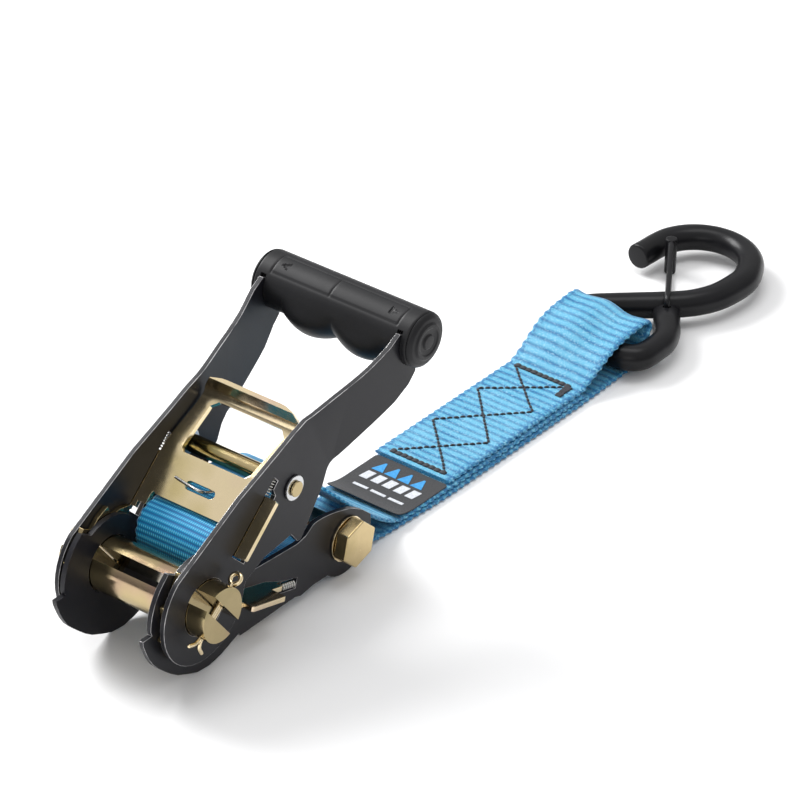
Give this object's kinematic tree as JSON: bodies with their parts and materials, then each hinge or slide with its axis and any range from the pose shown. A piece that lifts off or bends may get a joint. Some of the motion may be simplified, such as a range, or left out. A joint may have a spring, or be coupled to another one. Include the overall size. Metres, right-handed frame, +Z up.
{
  "type": "ratchet tie down",
  "caption": "Ratchet tie down with a black and gold ratchet, sewn blue webbing, a blank label patch and a coated S-hook with a wire keeper.",
  "frame": {"origin": "bottom centre of the assembly's box, with the ratchet and the hook lying on the floor", "axes": "+X along the strap from the ratchet to the hook, +Y across the strap, +Z up"},
  "size_m": [0.459, 0.088, 0.1204],
  "materials": {
    "black_paint": "satin black paint, bright where the edges are worn",
    "yellow_zinc": "yellow chromate zinc",
    "bright_zinc": "bright zinc",
    "spring_steel": "drawn wire",
    "black_plastic": "satin moulded",
    "webbing": "ribbed polyester weave",
    "label_cloth": null,
    "black_coating": "smooth dipped coating"
  },
  "bodies": {
    "base": {"base_plate_near": "black_paint", "base_plate_far": "black_paint", "strap_bolt": "yellow_zinc", "bolt_spacer": "yellow_zinc", "bolt_washer_near": "yellow_zinc", "bolt_washer_far": "yellow_zinc", "lock_nut": "yellow_zinc", "base_pawl_spring_near": "spring_steel", "base_pawl_spring_far": "spring_steel", "ratchet_loop": "webbing"},
    "spool": {"spool_half_upper": "yellow_zinc", "spool_half_lower": "yellow_zinc", "ratchet_wheel_near": "yellow_zinc", "ratchet_wheel_far": "yellow_zinc", "split_pin_near": "yellow_zinc", "split_pin_far": "yellow_zinc"},
    "handle": {"handle_plate_near": "black_paint", "handle_plate_far": "black_paint", "grip": "black_plastic", "grip_cap_near": "black_plastic", "grip_cap_far": "black_plastic", "grip_rod": "bright_zinc", "cross_rod": "yellow_zinc", "rod_outer_washer_near": "bright_zinc", "rod_outer_washer_far": "bright_zinc", "rod_inner_washer_near": "bright_zinc", "rod_inner_washer_far": "bright_zinc", "handle_pawl_spring_near": "spring_steel", "handle_pawl_spring_far": "spring_steel", "pawl_torsion_spring": "spring_steel"},
    "handle_pawl": {"handle_pawl": "yellow_zinc"},
    "base_pawl": {"base_pawl": "yellow_zinc"},
    "strap": {"sewn_section": "webbing", "woven_label": "label_cloth", "hook_loop": "webbing"},
    "hook": {"s_hook": "black_coating"},
    "keeper": {"keeper_wire": "black_coating", "keeper_sleeve": "black_coating"}
  },
  "joints": [
    {"name": "spool_turn", "type": "hinge", "parent": "base", "child": "spool", "pos_m": [-0.19659, 0, 0.03574], "axis": [0, 1, 0], "continuous": true},
    {"name": "handle_hinge", "type": "hinge", "parent": "base", "child": "handle", "pos_m": [-0.19659, 0, 0.03574], "axis": [0, -1, 0], "range_deg": [-24, 137], "deforming": ["ratchet_loop"]},
    {"name": "handle_pawl_slide", "type": "slide", "parent": "handle", "child": "handle_pawl", "axis": [0.7325, 0, 0.6807], "range_m": [0, 0.005], "stiffness_N_per_m": 400, "deforming": ["handle_pawl_spring_near", "handle_pawl_spring_far", "pawl_torsion_spring"]},
    {"name": "base_pawl_slide", "type": "slide", "parent": "base", "child": "base_pawl", "axis": [0.969, 0, -0.247], "range_m": [0, 0.004], "stiffness_N_per_m": 400, "deforming": ["base_pawl_spring_near", "base_pawl_spring_far"]},
    {"name": "strap_bend", "type": "hinge", "parent": "base", "child": "strap", "pos_m": [-0.05374, 0, 0.00404], "axis": [0, -1, 0], "range_deg": [0, 55], "deforming": ["ratchet_loop"]},
    {"name": "hook_swing", "type": "hinge", "parent": "strap", "child": "hook", "pos_m": [0.10891, 0, 0.00929], "axis": [0, -1, 0], "range_deg": [0, 80]},
    {"name": "keeper_swing", "type": "hinge", "parent": "hook", "child": "keeper", "pos_m": [0.15221, -0.0131, 0.00929], "axis": [0, 0, 1], "range_deg": [-28, 0], "stiffness_Nm_per_rad": 0.05}
  ]
}
